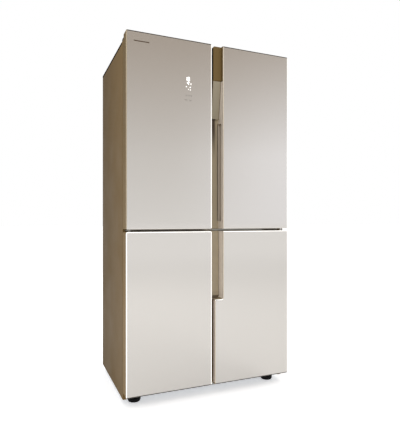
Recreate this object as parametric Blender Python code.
"""Four-door side-by-side refrigerator, built as an assembly of separate pieces.

Metres, +Z up. The origin is on the floor at the centre of the footprint, the
doors face -Y, and the left column of doors is at -X.
"""
import math

import bmesh
import bpy
from mathutils import Matrix, Vector

# ---------------------------------------------------------------- dimensions
HALF_W = 0.455            # half of the overall width, over the doors
Y_FRONT = -0.320          # front of the door glass
Y_REAR = 0.320            # back of the rear panel
HEIGHT = 1.815            # top of the upper doors

CAB_HX = 0.4535           # cabinet half width
CAB_Z0, CAB_Z1 = 0.028, 1.790
Y_CAB = -0.244            # front plane of the cabinet
SHEET = 0.002             # cabinet sheet and liner wall
GAP = 0.0003              # clearance between pieces that touch

GLASS_T = 0.004
BEVEL_W, BEVEL_D = 0.0055, 0.0016   # polished bevel round each glass
Y_DOOR_BACK = -0.255
DOOR_IN = 0.0085          # inner edge of each door, from the centre line
CORNER_R = 0.007
LOW_Z0, LOW_Z1 = 0.062, 0.853
UP_Z0, UP_Z1 = 0.865, 1.815
TOP_STEP_Y = -0.268       # behind this the top of an upper door is lower
TOP_STEP_Z = 1.788

AXIS_X, AXIS_Y = 0.433, -0.290     # door hinge axis, each side
PIN_R, PIN_HOLE_R = 0.004, 0.0047

CAV_X0, CAV_X1 = 0.030, 0.405      # compartments, from the centre line
CAV_BACK = 0.258
UP_CAV = (0.896, 1.745)
LOW_CAV = (0.100, 0.822)
STEP_Y, STEP_Z = 0.085, 0.345      # step over the machine room
ROOM_Y, ROOM_Z = 0.140, 0.2965     # machine room: behind ROOM_Y, below ROOM_Z

GRIP_X = 0.0550           # outer side of the handle channel in a right door
GRIP_DRAFT = 0.07         # that side leans inwards with depth
GRIP_UNDER_X = 0.078      # how far the finger hold reaches behind the glass
HOLD_X0 = 0.0465          # where the finger hold starts on the channel's floor
GROOVE_W, GROOVE_D = 0.005, 0.005    # groove along that edge
GRIP_D0 = 0.020           # shallow part at the top, and depth of the front lip
GRIP_D1 = 0.052           # full depth
RAMP_TOP, RAMP_END = 1.638, 1.441
RAMP_D = 0.044            # depth at the low end of the ramp
HOLD_Z0, HOLD_Z1 = 0.905, 1.4165
LOW_GRIP_D = 0.047
LOW_GRIP_Z = 0.499
TRIM = 0.002

FOOT_X, FOOT_Y = 0.387, -0.203
GLAND_X, GLAND_Z, GLAND_R = 0.395, 0.075, 0.0060   # mains gland in the machine room cover
ROLLER_X, ROLLER_Y, ROLLER_R = 0.370, 0.262, 0.017
FAN_COND = (0.115, 0.228, 0.150)
FAN_EVAP = (-0.2175, 0.2285, 1.470)

# ---------------------------------------------------------------- start clean
for old in list(bpy.data.objects):
    bpy.data.objects.remove(old, do_unlink=True)

SCENE = bpy.context.scene.collection
PALETTE = {
    "champagne_glass": ((0.50, 0.44, 0.37), 0.06, 0.0),
    "champagne_paint": ((0.29, 0.24, 0.17), 0.42, 0.35),
    "door_trim": ((0.46, 0.40, 0.31), 0.38, 0.35),
    "galvanised": ((0.55, 0.56, 0.56), 0.45, 0.85),
    "black_steel": ((0.03, 0.03, 0.03), 0.5, 0.3),
    "black_plastic": ((0.02, 0.02, 0.02), 0.6, 0.0),
    "rubber": ((0.08, 0.08, 0.08), 0.85, 0.0),
    "gasket_grey": ((0.35, 0.34, 0.32), 0.8, 0.0),
    "liner_white": ((0.80, 0.80, 0.79), 0.35, 0.0),
    "clear_plastic": ((0.72, 0.78, 0.80), 0.15, 0.0),
    "shelf_glass": ((0.62, 0.74, 0.72), 0.05, 0.0),
    "foam": ((0.80, 0.70, 0.42), 0.95, 0.0),
    "aluminium": ((0.70, 0.71, 0.72), 0.35, 1.0),
    "hinge_steel": ((0.42, 0.40, 0.36), 0.4, 0.8),
}
MATERIALS = {}


def material(node, kind):
    colour, rough, metal = PALETTE[kind]
    mat = bpy.data.materials.new("mat_" + node)
    mat.use_nodes = True
    shader = mat.node_tree.nodes["Principled BSDF"]
    shader.inputs["Base Color"].default_value = (*colour, 1.0)
    shader.inputs["Roughness"].default_value = rough
    shader.inputs["Metallic"].default_value = metal
    mat.diffuse_color = (*colour, 1.0)
    return mat


# ---------------------------------------------------------------- shape helpers
def raw(bm):
    bmesh.ops.recalc_face_normals(bm, faces=bm.faces[:])
    mesh = bpy.data.meshes.new("shape")
    bm.to_mesh(mesh)
    bm.free()
    obj = bpy.data.objects.new("shape", mesh)
    SCENE.objects.link(obj)
    return obj


def box(x0, x1, y0, y1, z0, z1):
    """A block between two corners, given in any order."""
    x0, x1 = min(x0, x1), max(x0, x1)
    y0, y1 = min(y0, y1), max(y0, y1)
    z0, z1 = min(z0, z1), max(z0, z1)
    bm = bmesh.new()
    bmesh.ops.create_cube(bm, size=1.0)
    bmesh.ops.transform(bm, verts=bm.verts[:], matrix=Matrix.Translation(
        ((x0 + x1) / 2, (y0 + y1) / 2, (z0 + z1) / 2))
        @ Matrix.Diagonal((x1 - x0, y1 - y0, z1 - z0, 1.0)))
    return raw(bm)


def soft_box(x0, x1, y0, y1, z0, z1, r, axis, seg=3):
    """A block whose four edges along one axis are rounded."""
    obj = box(x0, x1, y0, y1, z0, z1)
    bm = bmesh.new()
    bm.from_mesh(obj.data)
    along = {"x": 0, "y": 1, "z": 2}[axis]
    edges = []
    for e in bm.edges:
        d = e.verts[0].co - e.verts[1].co
        if abs(d[along]) > 1e-6:
            edges.append(e)
    bmesh.ops.bevel(bm, geom=edges, offset=r, segments=seg, profile=0.5,
                    affect='EDGES', clamp_overlap=False)
    bmesh.ops.recalc_face_normals(bm, faces=bm.faces[:])
    bm.to_mesh(obj.data)
    bm.free()
    return obj


def loops_solid(loops):
    """A closed solid through rings of equal point counts, capped at both ends."""
    bm = bmesh.new()
    rings = [[bm.verts.new(p) for p in ring] for ring in loops]
    n = len(rings[0])
    for a, b in zip(rings, rings[1:]):
        for i in range(n):
            j = (i + 1) % n
            bm.faces.new((a[i], a[j], b[j], b[i]))
    bm.faces.new(list(reversed(rings[0])))
    bm.faces.new(rings[-1])
    return raw(bm)


def prism(outline, axis, lo, hi):
    """An outline of two coordinates pushed along the third axis."""
    def point(a, b, c):
        return {"x": (c, a, b), "y": (a, c, b), "z": (a, b, c)}[axis]
    return loops_solid([[point(a, b, c) for a, b in outline] for c in (lo, hi)])


def cylinder(centre, radius, lo, hi, axis, seg=16, radius2=None):
    """A round bar along an axis; centre holds the other two coordinates."""
    radius2 = radius if radius2 is None else radius2
    rings = []
    for c, r in ((lo, radius), (hi, radius2)):
        ring = []
        for k in range(seg):
            t = 2 * math.pi * (k + 0.5) / seg
            a, b = centre[0] + r * math.cos(t), centre[1] + r * math.sin(t)
            ring.append({"x": (c, a, b), "y": (a, c, b), "z": (a, b, c)}[axis])
        rings.append(ring)
    return loops_solid(rings)


def turned(profile, seg=20, sx=1.0, sy=1.0, at=(0, 0)):
    """A turned solid about a vertical axis from (radius, height) rings."""
    rings = []
    for r, z in profile:
        rings.append([(at[0] + sx * r * math.cos(2 * math.pi * k / seg),
                       at[1] + sy * r * math.sin(2 * math.pi * k / seg), z)
                      for k in range(seg)])
    return loops_solid(rings)


def combine(base, tools, operation):
    """Blender's exact Boolean with each tool in turn, kept as a plain mesh."""
    for tool in tools:
        mod = base.modifiers.new("b", 'BOOLEAN')
        mod.object = tool
        mod.operation = operation
        mod.solver = 'EXACT'
    graph = bpy.context.evaluated_depsgraph_get()
    graph.update()
    mesh = bpy.data.meshes.new_from_object(base.evaluated_get(graph))
    base.modifiers.clear()
    base.data = mesh
    for tool in tools:
        bpy.data.objects.remove(tool, do_unlink=True)
    return base


def cut(base, *tools):
    return combine(base, tools, 'DIFFERENCE')


def join(base, *tools):
    return combine(base, tools, 'UNION')


EMPTIES = {}


def pivot(name, at):
    empty = bpy.data.objects.new(name, None)
    empty.location = at
    empty.empty_display_size = 0.05
    SCENE.objects.link(empty)
    EMPTIES[name] = empty
    return empty


def node(obj, name, kind, parent=None, smooth=False):
    """Name a finished solid, give it its material and hang it on its pivot."""
    obj.name = name
    obj.data.name = name
    obj.data.materials.clear()
    obj.data.materials.append(material(name, kind))
    if parent:
        empty = EMPTIES[parent]
        obj.data.transform(Matrix.Translation(-Vector(empty.location)))
        obj.parent = empty
    if smooth:
        obj.data.shade_smooth()
        obj.data.set_sharp_from_angle(angle=math.radians(35))
    return obj


def outline_inset(points, d):
    """Move a counter-clockwise outline inwards by d along its mitred corners."""
    out = []
    n = len(points)
    for i in range(n):
        p0, p1, p2 = Vector(points[i - 1]), Vector(points[i]), Vector(points[(i + 1) % n])
        a, b = (p1 - p0).normalized(), (p2 - p1).normalized()
        na, nb = Vector((-a.y, a.x)), Vector((-b.y, b.x))
        m = (na + nb).normalized()
        out.append(tuple(p1 + m * (d / max(0.3, m.dot(na)))))
    return out


def rounded(corners, seg=3):
    """Counter-clockwise outline from (x, z, radius) corners."""
    pts = []
    n = len(corners)
    for i in range(n):
        x, z, r = corners[i]
        p = Vector((x, z))
        if r <= 0:
            pts.append((x, z))
            continue
        a = (Vector(corners[i - 1][:2]) - p).normalized()
        b = (Vector(corners[(i + 1) % n][:2]) - p).normalized()
        centre = p + (a + b) * r
        start, end = p + a * r - centre, p + b * r - centre
        t0, t1 = math.atan2(start.y, start.x), math.atan2(end.y, end.x)
        while t1 - t0 > math.pi:
            t1 -= 2 * math.pi
        while t1 - t0 < -math.pi:
            t1 += 2 * math.pi
        for k in range(seg + 1):
            t = t0 + (t1 - t0) * k / seg
            pts.append((centre.x + r * math.cos(t), centre.y + r * math.sin(t)))
    return pts


def mirrored(points, side):
    """The outline on the chosen side, still counter-clockwise."""
    if side > 0:
        return points
    return [(-x, z) for x, z in reversed(points)]


# ---------------------------------------------------------------- cabinet
cabinet = box(-CAB_HX, CAB_HX, Y_CAB, 0.3175, CAB_Z0, CAB_Z1)
cut(cabinet,
    box(-CAB_HX + SHEET, CAB_HX - SHEET, Y_CAB + SHEET, 0.40, -0.1, CAB_Z1 - SHEET),
    box(-0.4355, 0.4355, Y_CAB - 0.02, Y_CAB + 0.01, -0.1, 1.772))
node(cabinet, "outer_cabinet", "champagne_paint")

rear = soft_box(-0.450, 0.450, 0.3180, Y_REAR, 0.300, 1.785, 0.01, "y", 2)
node(rear, "rear_panel", "galvanised")

frame = box(-0.4350, 0.4350, Y_CAB, Y_CAB + SHEET, 0.0400, 1.7715)
for side in (-1, 1):
    for z0, z1 in (UP_CAV, LOW_CAV):
        cut(frame, box(side * (CAV_X0 - SHEET - 0.0004), side * (CAV_X1 + SHEET + 0.0004),
                       Y_CAB - 0.01, Y_CAB + 0.01, z0 - SHEET - 0.0004, z1 + SHEET + 0.0004))
node(frame, "front_cross_frame", "champagne_paint")

# the base carries the feet, the rollers and the machine room
base = box(-0.4510, 0.4510, -0.2412, 0.3170, 0.030, 0.032)
lip = box(-0.4350, 0.4350, Y_CAB, -0.2404, 0.030, 0.0395)
parts = [lip]
for side in (-1, 1):
    parts.append(cylinder((side * FOOT_X, FOOT_Y), 0.011, 0.031, 0.056, "z", 16))
    for off in (-0.0135, 0.0135):
        x = side * ROLLER_X + off
        parts.append(box(x - 0.0015, x + 0.0015, ROLLER_Y - 0.010, ROLLER_Y + 0.010, 0.009, 0.031))
parts.append(box(0.148, 0.152, 0.213, 0.243, 0.031, 0.172))          # fan motor post
parts.append(cylinder((FAN_COND[1], FAN_COND[2]), 0.018, 0.129, 0.151, "x", 16))
join(base, *parts)
holes = []
for side in (-1, 1):
    holes.append(cylinder((side * FOOT_X, FOOT_Y), 0.0055, 0.0, 0.07, "z", 12))
    holes.append(box(side * ROLLER_X - 0.0115, side * ROLLER_X + 0.0115,
                     ROLLER_Y - 0.021, ROLLER_Y + 0.021, 0.025, 0.04))
    holes.append(cylinder((ROLLER_Y, ROLLER_R), 0.0036,
                          side * ROLLER_X - 0.02, side * ROLLER_X + 0.02, "x", 12))
cut(base, *holes)
node(base, "base_pan", "galvanised")

foam = box(-0.4508, 0.4508, -0.2400, 0.3170, 0.0345, 1.7875)
tools = [box(-0.5, 0.5, ROOM_Y, 0.4, 0.0, ROOM_Z)]
e = 0.0004
for side in (-1, 1):
    x0, x1 = side * (CAV_X0 - SHEET - e), side * (CAV_X1 + SHEET + e)
    back = CAV_BACK + SHEET + e
    tools.append(box(x0, x1, -0.3, back, UP_CAV[0] - SHEET - e, UP_CAV[1] + SHEET + e))
    z0, z1 = LOW_CAV[0] - SHEET - e, LOW_CAV[1] + SHEET + e
    tools.append(prism([(-0.3, z0), (STEP_Y + SHEET + e, z0), (STEP_Y + SHEET + e, STEP_Z - SHEET - e),
                        (back, STEP_Z - SHEET - e), (back, z1), (-0.3, z1)],
                       "x", min(x0, x1), max(x0, x1)))
    tools.append(box(side * FOOT_X - 0.014, side * FOOT_X + 0.014,
                     FOOT_Y - 0.014, FOOT_Y + 0.014, 0.0, 0.060))
cut(foam, *tools)
node(foam, "insulation_foam", "foam")


# ---------------------------------------------------------------- compartments
def liner(name, side, cav, step, ledges):
    """A thin open box with ledges for its shelves; the lower ones step over the machine room."""
    z0, z1 = cav
    x0, x1 = side * CAV_X0, side * CAV_X1
    lo, hi = min(x0, x1), max(x0, x1)
    yb = CAV_BACK
    if step:
        def ring(g):
            return [(Y_CAB if g else Y_CAB - 0.02, z0 - g), (STEP_Y + g, z0 - g),
                    (STEP_Y + g, STEP_Z - g), (yb + g, STEP_Z - g), (yb + g, z1 + g),
                    (Y_CAB if g else Y_CAB - 0.02, z1 + g)]
        shell = prism(ring(SHEET), "x", lo - SHEET, hi + SHEET)
        hollow = prism(ring(0.0), "x", lo, hi)
    else:
        shell = box(lo - SHEET, hi + SHEET, Y_CAB, yb + SHEET, z0 - SHEET, z1 + SHEET)
        hollow = box(lo, hi, Y_CAB - 0.02, yb, z0, z1)
    cut(shell, hollow)
    bars = []
    for z, y0, y1 in ledges:
        bars.append(box(lo - 0.001, lo + 0.008, y0, y1, z - 0.008, z))
        bars.append(box(hi + 0.001, hi - 0.008, y0, y1, z - 0.008, z))
    if bars:
        join(shell, *bars)
    return node(shell, name, "liner_white")


SHELF_L = [1.160, 1.420]
FRIDGE_SHELVES = [1.140, 1.420]
liner("freezer_liner_upper", -1, UP_CAV, False, [(z, -0.120, 0.180) for z in SHELF_L])
liner("freezer_liner_lower", -1, LOW_CAV, True, [(0.590, -0.120, 0.240), (0.350, -0.120, 0.080)])
liner("fridge_liner_upper", 1, UP_CAV, False, [(z, -0.120, 0.215) for z in FRIDGE_SHELVES])
liner("fridge_liner_lower", 1, LOW_CAV, True, [(0.590, -0.120, 0.240), (0.350, -0.120, 0.080)])


def shelf(name, side, z, y0, y1):
    """A toughened glass shelf with a turned-down front edge."""
    x0, x1 = side * (CAV_X0 + 0.0015), side * (CAV_X1 - 0.0015)
    plate = box(x0, x1, y0, y1, z + GAP, z + 0.0053)
    front = soft_box(x0, x1, y0 - 0.012, y0 + 0.002, z - 0.010, z + 0.0075, 0.003, "x", 2)
    join(plate, front)
    return node(plate, name, "shelf_glass")


shelf("freezer_shelf", -1, SHELF_L[1], -0.123, 0.188)
shelf("fridge_shelf_upper", 1, FRIDGE_SHELVES[1], -0.123, 0.220)
shelf("fridge_shelf_lower", 1, FRIDGE_SHELVES[0], -0.123, 0.220)


def drawer(name, side, y0, y1, z0, z1, kind="clear_plastic"):
    """An open drawer with a pull lip along the top of its front."""
    lo, hi = sorted((side * (CAV_X0 + 0.012), side * (CAV_X1 - 0.012)))
    t = 0.0035
    tub = soft_box(lo, hi, y0, y1, z0, z1, 0.010, "z", 2)
    cut(tub, box(lo + t, hi - t, y0 + 0.012, y1 - t, z0 + t, z1 + 0.05))
    join(tub, box(lo + 0.09, hi - 0.09, y0 - 0.009, y0 + 0.004, z1 - 0.014, z1 - 0.004))
    return node(tub, name, kind)


drawer("freezer_drawer_upper", -1, -0.124, 0.235, 0.5915, 0.790)
drawer("freezer_drawer_lower", -1, -0.124, 0.075, 0.105, 0.335)
drawer("crisper_drawer_upper", 1, -0.124, 0.235, 0.5915, 0.790)
drawer("crisper_drawer_lower", 1, -0.124, 0.075, 0.105, 0.335)

# ---------------------------------------------------------------- cold air side
duct = soft_box(-0.4040, -0.0310, 0.1930, 0.1960, 0.898, 1.743, 0.006, "y", 2)
join(duct, cylinder((FAN_EVAP[0], FAN_EVAP[2]), 0.020, 0.1945, 0.2140, "y", 16))
slots = []
for k in range(5):
    z = 1.600 + 0.022 * k
    slots.append(box(-0.335, -0.100, 0.18, 0.20, z, z + 0.008))
for k in range(4):
    z = 0.915 + 0.020 * k
    slots.append(box(-0.365, -0.070, 0.18, 0.20, z, z + 0.008))
cut(duct, *slots)
node(duct, "freezer_air_duct", "liner_white")

column = soft_box(0.1300, 0.3050, 0.2260, 0.2577, 0.930, 1.705, 0.008, "z", 2)
slots = [box(0.165, 0.270, 0.20, 0.234, z, z + 0.010) for z in (0.99, 1.01, 1.25, 1.27, 1.55, 1.57, 1.64)]
cut(column, *slots)
node(column, "fridge_air_duct", "liner_white")

# evaporator: a block of fins between two end plates
evap = box(-0.372, -0.063, 0.2020, 0.2540, 0.935, 1.290)
fins = []
for k in range(10):
    x = -0.3600 + 0.0294 * k
    fins.append(box(x, x + 0.0210, 0.20, 0.2480, 0.925, 1.300))
cut(evap, *fins)
join(evap, cylinder((0.212, 1.010), 0.0042, -0.371, -0.064, "x", 6),
     cylinder((0.212, 1.215), 0.0042, -0.371, -0.064, "x", 6))
node(evap, "evaporator", "aluminium")


def fan(name, centre, axis, radius, hub_r, depth, kind, parent):
    """A hub with five pitched blades, turning on its own axis."""
    half = depth / 2
    lo = {"x": centre[0], "y": centre[1]}[axis] - half
    plane = (centre[1], centre[2]) if axis == "x" else (centre[0], centre[2])
    hub = cylinder(plane, hub_r, lo, lo + depth, axis, 20)
    blades = []
    for k in range(5):
        t = 2 * math.pi * k / 5
        bm = bmesh.new()
        bmesh.ops.create_cube(bm, size=1.0)
        reach = radius - hub_r + 0.004
        m = (Matrix.Rotation(t, 4, 'Y') @ Matrix.Translation((hub_r - 0.004 + reach / 2, 0, 0))
             @ Matrix.Rotation(math.radians(32), 4, 'X')
             @ Matrix.Diagonal((reach, 0.0022, 0.034, 1.0)))
        if axis == "x":
            m = Matrix.Rotation(math.radians(90), 4, 'Z') @ m
        m = Matrix.Translation(centre) @ m
        bmesh.ops.transform(bm, verts=bm.verts[:], matrix=m)
        blades.append(raw(bm))
    join(hub, *blades)
    return node(hub, name, kind, parent)


pivot("evaporator_fan_axis", FAN_EVAP)
fan("evaporator_fan", FAN_EVAP, "y", 0.052, 0.020, 0.024, "liner_white", "evaporator_fan_axis")

# ---------------------------------------------------------------- machine room
pump = turned([(0.060, 0.052), (0.070, 0.062), (0.0735, 0.110), (0.0735, 0.125), (0.076, 0.128),
               (0.076, 0.134), (0.0735, 0.137), (0.070, 0.175), (0.056, 0.200), (0.030, 0.212),
               (0.010, 0.2145)], 20, 1.25, 0.95, (-0.265, 0.228))
join(pump, soft_box(-0.365, -0.165, 0.165, 0.291, 0.0465, 0.053, 0.008, "z", 2),
     box(-0.176, -0.140, 0.200, 0.252, 0.110, 0.165),
     *[cylinder((-0.265 + sx * 0.085, 0.228 + sy * 0.050), 0.010, 0.0323, 0.047, "z", 8)
       for sx in (-1, 1) for sy in (-1, 1)])
node(pump, "compressor", "black_steel", smooth=True)

cond = box(0.190, 0.345, 0.160, 0.296, 0.0345, 0.262)
fins = []
for k in range(7):
    x = 0.1950 + 0.0214 * k
    fins.append(box(x, x + 0.0160, 0.150, 0.290, 0.030, 0.270))
cut(cond, *fins)
join(cond, *[cylinder((0.176, z), 0.0042, 0.186, 0.349, "x", 6) for z in (0.09, 0.20)])
node(cond, "condenser", "aluminium")

pivot("condenser_fan_axis", FAN_COND)
fan("condenser_fan", FAN_COND, "x", 0.060, 0.021, 0.026, "black_plastic", "condenser_fan_axis")

tray = soft_box(-0.115, 0.065, 0.160, 0.298, 0.0323, 0.075, 0.012, "z", 2)
cut(tray, box(-0.1125, 0.0625, 0.1625, 0.2955, 0.0348, 0.1))
node(tray, "drip_tray", "black_plastic")

cover = soft_box(-0.450, 0.450, 0.3180, Y_REAR, 0.0325, 0.2965, 0.008, "y", 2)
slots = []
for x0, x1 in ((-0.36, -0.17), (0.02, 0.34)):
    for k in range(8):
        z = 0.085 + 0.021 * k
        slots.append(box(x0, x1, 0.31, 0.33, z, z + 0.007))
cut(cover, *slots)
join(cover, cylinder((GLAND_X, GLAND_Z), 0.0105, 0.3110, 0.3195, "y", 24))
cut(cover, cylinder((GLAND_X, GLAND_Z), GLAND_R, 0.30, 0.33, "y", 24))
node(cover, "machine_room_cover", "galvanised")

# ---------------------------------------------------------------- feet and rollers
for side, word in ((-1, "left"), (1, "right")):
    pivot("foot_%s_axis" % word, (side * FOOT_X, FOOT_Y, 0.0))
    foot = turned([(0.0270, 0.0), (0.0292, 0.0015), (0.0318, 0.0080), (0.0328, 0.0120),
                   (0.0330, 0.0150), (0.0330, 0.0225), (0.0312, 0.0245), (0.0050, 0.0255),
                   (0.0050, 0.0520)], 24, 1, 1, (side * FOOT_X, FOOT_Y))
    node(foot, "leveling_foot_" + word, "black_plastic", "foot_%s_axis" % word, smooth=True)
    pivot("roller_%s_axis" % word, (side * ROLLER_X, ROLLER_Y, ROLLER_R))
    wheel = cylinder((ROLLER_Y, ROLLER_R), ROLLER_R / math.cos(math.pi / 24),
                     side * ROLLER_X - 0.009, side * ROLLER_X + 0.009, "x", 24)
    join(wheel, cylinder((ROLLER_Y, ROLLER_R), 0.003, side * ROLLER_X - 0.0175,
                         side * ROLLER_X + 0.0175, "x", 12))
    node(wheel, "rear_roller_" + word, "black_plastic", "roller_%s_axis" % word)

# ---------------------------------------------------------------- hinges
for side, word in ((-1, "left"), (1, "right")):
    ax = side * AXIS_X

    # top: a plate screwed to the cabinet top, its arm reaching into a slot in the door
    arm = box(ax - 0.008, ax + 0.008, AXIS_Y, -0.240, 1.7955, 1.7980)
    join(arm,
         cylinder((ax, AXIS_Y), 0.008, 1.7955, 1.7980, "z", 20),
         box(side * 0.449, side * 0.396, -0.2420, -0.2260, CAB_Z1 + GAP, 1.7980),
         cylinder((ax, AXIS_Y), PIN_R, 1.7770, 1.7965, "z", 12))
    node(arm, "top_hinge_" + word, "hinge_steel")
    cap = soft_box(side * 0.4525, side * 0.3880, -0.2575, -0.2210, CAB_Z1 + GAP, 1.8020, 0.004, "z", 2)
    cut(cap, box(side * 0.4505, side * 0.3900, -0.30, -0.2235, 1.70, 1.8000))
    node(cap, "top_hinge_cover_" + word, "black_plastic")

    # middle: one bracket in the gap between the doors, a pin each way
    mid = box(ax - 0.009, ax + 0.009, AXIS_Y, -0.2470, 0.8572, 0.8608)
    join(mid,
         cylinder((ax, AXIS_Y), 0.009, 0.8572, 0.8608, "z", 20),
         box(side * 0.4335, side * 0.4095, -0.2480, -0.2443, 0.8475, 0.8705),
         box(side * 0.4420, side * 0.4095, -0.2520, -0.2470, 0.8572, 0.8608),
         cylinder((ax, AXIS_Y), PIN_R, 0.8420, 0.8760, "z", 12))
    node(mid, "middle_hinge_" + word, "hinge_steel")

    # bottom: a plate under the door, turned down on the cabinet's front face
    low = box(side * 0.4460, side * 0.4060, -0.2880, -0.2460, 0.0535, 0.0580)
    join(low,
         cylinder((ax, AXIS_Y), 0.009, 0.0535, 0.0580, "z", 20),
         box(side * 0.4340, side * 0.4060, -0.2480, -0.2443, 0.0410, 0.0580),
         cylinder((ax, AXIS_Y), PIN_R, 0.0570, 0.0745, "z", 12))
    node(low, "bottom_hinge_" + word, "hinge_steel")


# ---------------------------------------------------------------- doors
def door_outline(side, z0, z1, notch=False):
    """Front outline of a door, counter-clockwise in X and Z."""
    r = CORNER_R
    if notch == "full":                       # channel down the whole inner edge
        pts = [(GRIP_X, z0, 0.0), (HALF_W, z0, r), (HALF_W, z1, r), (GRIP_X, z1, r)]
    elif notch == "corner":                   # channel in the upper inner corner
        pts = [(DOOR_IN, z0, r), (HALF_W, z0, r), (HALF_W, z1, r), (GRIP_X, z1, 0.0),
               (GRIP_X, LOW_GRIP_Z, 0.010), (DOOR_IN, LOW_GRIP_Z, 0.003)]
    else:
        pts = [(DOOR_IN, z0, r), (HALF_W, z0, r), (HALF_W, z1, r), (DOOR_IN, z1, r)]
    return mirrored(rounded(pts), side)


def glass(name, outline, parent):
    """A glass sheet with a polished bevel round its front."""
    inner = outline_inset(outline, BEVEL_W)
    sheet = loops_solid([
        [(x, Y_FRONT + GLASS_T, z) for x, z in outline],
        [(x, Y_FRONT + BEVEL_D, z) for x, z in outline],
        [(x, Y_FRONT, z) for x, z in inner]])
    return node(sheet, name, "champagne_glass", parent)


def wall_x(y, grow):
    """Where the leaning outer side of a handle channel is at depth y."""
    return GRIP_X + 1.02 * grow - GRIP_DRAFT * (y - Y_FRONT)


def channel(side, grow):
    """The air of the upper door's handle channel, grown outwards on its walls."""
    x0 = DOOR_IN - 0.02
    f = Y_FRONT - 0.02
    zt = RAMP_TOP + grow * 0.4
    ze = RAMP_END
    d0, d1, dr = (Y_FRONT + v + grow for v in (GRIP_D0, GRIP_D1, RAMP_D))
    body = prism([(f, UP_Z0 - 0.02), (d1, UP_Z0 - 0.02), (d1, ze + grow), (dr, ze + grow),
                  (d0, zt), (f, zt)], "x", x0, GRIP_X + 0.03)
    cut(body, prism([(wall_x(f, grow), f), (0.2, f), (0.2, -0.2), (wall_x(-0.2, grow), -0.2)],
                    "z", 0.0, 2.0))
    hold = box(HOLD_X0 - grow, GRIP_UNDER_X + grow, Y_FRONT + GRIP_D0 - grow, d1 + 0.0005,
               HOLD_Z0 - grow, HOLD_Z1 + grow)
    groove = box(HOLD_X0 - grow, HOLD_X0 + GROOVE_W + grow, Y_FRONT + GRIP_D0 + 0.010, d1 + GROOVE_D,
                 HOLD_Z0 - grow, HOLD_Z1 + grow)
    return join(body, hold, groove)


def low_channel(grow):
    """The air of the lower door's handle channel: rounded where side and floor meet."""
    rings = []
    for y in (Y_FRONT - 0.02, Y_FRONT + LOW_GRIP_D + grow):
        x0, x1 = DOOR_IN - 0.02, wall_x(y, grow)
        z0 = LOW_GRIP_Z - grow
        out = rounded([(x0, z0, 0.0), (x1, z0, 0.010 + grow), (x1, LOW_Z1 + 0.02, 0.0), (x0, LOW_Z1 + 0.02, 0.0)])
        rings.append([(x, y, z) for x, z in out])
    return loops_solid(rings)


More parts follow.
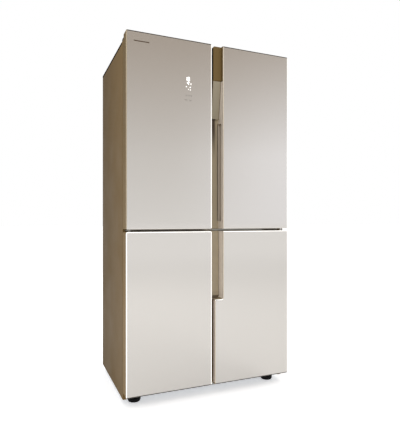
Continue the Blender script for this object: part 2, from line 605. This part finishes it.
def door(side, level):
    word = "left" if side < 0 else "right"
    tag = "%s_%s" % (level, word)
    axis = "%s_door_axis" % tag
    z0, z1 = (UP_Z0, UP_Z1) if level == "upper" else (LOW_Z0, LOW_Z1)
    cav = UP_CAV if level == "upper" else LOW_CAV
    ax = side * AXIS_X
    pivot(axis, (ax, AXIS_Y, z0))

    # body: steel skin, end caps and foam core in one piece
    full = mirrored(rounded([(DOOR_IN, z0, CORNER_R), (HALF_W, z0, CORNER_R),
                             (HALF_W, z1, CORNER_R), (DOOR_IN, z1, CORNER_R)]), side)
    body = prism(full, "y", Y_FRONT + GLASS_T + GAP, Y_DOOR_BACK)
    cuts = []
    if level == "upper":
        cuts.append(box(-0.5, 0.5, TOP_STEP_Y, Y_DOOR_BACK + 0.01, TOP_STEP_Z, z1 + 0.01))
        cuts.append(box(ax - side * 0.0095, side * 0.47, AXIS_Y - 0.0185, Y_DOOR_BACK + 0.01, 1.7950, 1.7985))
        cuts.append(cylinder((ax, AXIS_Y), PIN_HOLE_R, 1.7730, 1.7960, "z", 12))
        cuts.append(cylinder((ax, AXIS_Y), PIN_HOLE_R, z0 - 0.01, z0 + 0.0150, "z", 12))
    else:
        cuts.append(cylinder((ax, AXIS_Y), PIN_HOLE_R, z1 - 0.0150, z1 + 0.01, "z", 12))
        cuts.append(cylinder((ax, AXIS_Y), PIN_HOLE_R, z0 - 0.01, z0 + 0.0160, "z", 12))
    if side > 0 and level == "upper":
        top_grow = 0.0
        f, back = Y_FRONT - 0.02, Y_FRONT + GRIP_D0
        cuts.append(prism([(-0.02, f), (wall_x(f, top_grow), f), (wall_x(back, top_grow), back), (-0.02, back)],
                          "z", RAMP_TOP - 0.003, z1 + 0.02))
        cuts.append(channel(side, TRIM + GAP))
        outline = door_outline(side, z0, z1, "full")
    elif side > 0:
        cuts.append(low_channel(TRIM + GAP))
        outline = door_outline(side, z0, z1, "corner")
    else:
        h0, h1 = (HOLD_Z0, HOLD_Z1) if level == "upper" else (LOW_GRIP_Z + 0.006, 0.835)
        cuts.append(box(-0.022, 0.0, Y_FRONT + GRIP_D0, Y_FRONT + GRIP_D1, h0, h1))
        outline = door_outline(side, z0, z1)
        if level == "upper":
            cuts.append(box(-0.1660, -0.1140, Y_FRONT, -0.3050, 1.490, 1.650))
    cut(body, *cuts)
    node(body, tag + "_door_body", "champagne_paint", axis)
    glass(tag + "_door_glass", outline, axis)

    # inner panel with a raised rim that carries the bin
    m = 0.0200
    gx0, gx1 = 0.009, 0.432
    gz0, gz1 = cav[0] - 0.024, cav[1] + 0.025
    if level == "upper":
        gz0, gz1 = 0.873, 1.770
    else:
        gz0, gz1 = 0.074, 0.845
    seal = soft_box(side * gx0, side * gx1, Y_DOOR_BACK + GAP, Y_CAB - GAP, gz0, gz1, 0.006, "y", 2)
    cut(seal, box(side * (gx0 + m), side * (gx1 - m), -0.3, -0.2, gz0 + m, gz1 - m))
    node(seal, tag + "_door_gasket", "gasket_grey", axis)

    px0, px1 = gx0 + m + 0.0006, gx1 - m - 0.0006
    pz0, pz1 = gz0 + m + 0.0006, gz1 - m - 0.0006
    panel = box(side * px0, side * px1, Y_DOOR_BACK + GAP, -0.2500, pz0, pz1)
    rim = soft_box(side * 0.055, side * 0.393, -0.2510, -0.2100, cav[0] + 0.020, cav[1] - 0.020, 0.012, "y", 2)
    cut(rim, box(side * 0.067, side * 0.381, -0.30, -0.20, cav[0] + 0.034, cav[1] - 0.034))
    join(panel, rim)
    node(panel, tag + "_door_liner", "liner_white", axis)

    # one open bin, hung between the sides of the rim
    bz = 1.120 if level == "upper" else 0.300
    lo, hi = sorted((side * 0.0685, side * 0.3795))
    tub = soft_box(lo, hi, -0.2495, -0.1530, bz, bz + 0.095, 0.010, "z", 2)
    cut(tub, box(lo + 0.003, hi - 0.003, -0.2465, -0.1560, bz + 0.003, bz + 0.2))
    node(tub, tag + "_door_bin", "clear_plastic", axis)


for side in (-1, 1):
    for level in ("upper", "lower"):
        door(side, level)

# handle channel linings of the right doors
grow = TRIM
lining = channel(1, grow)
cut(lining, channel(1, 0.0),
    box(-0.1, DOOR_IN, -0.5, 0.0, 0.0, 2.0),
    box(-0.1, 0.2, -0.5, Y_FRONT + GLASS_T + GAP, 0.0, 2.0),
    box(-0.1, 0.2, -0.5, 0.0, 0.0, UP_Z0),
    box(-0.1, 0.2, -0.5, 0.0, RAMP_TOP - 0.0035, 2.0))
node(lining, "upper_handle_lining", "door_trim", "upper_right_door_axis")

lining = low_channel(grow)
cut(lining, low_channel(0.0),
    box(-0.1, DOOR_IN, -0.5, 0.0, 0.0, 2.0),
    box(-0.1, 0.2, -0.5, Y_FRONT + GLASS_T + GAP, 0.0, 2.0),
    box(-0.1, 0.2, -0.5, 0.0, LOW_Z1, 2.0))
node(lining, "lower_handle_lining", "door_trim", "lower_right_door_axis")

# touch display board behind the upper left glass
board = box(-0.1655, -0.1145, Y_FRONT + GLASS_T + GAP, -0.3055, 1.4905, 1.6495)
cut(board, box(-0.1625, -0.1175, -0.33, -0.3125, 1.4935, 1.6465))
node(board, "display_module", "black_plastic", "upper_left_door_axis")
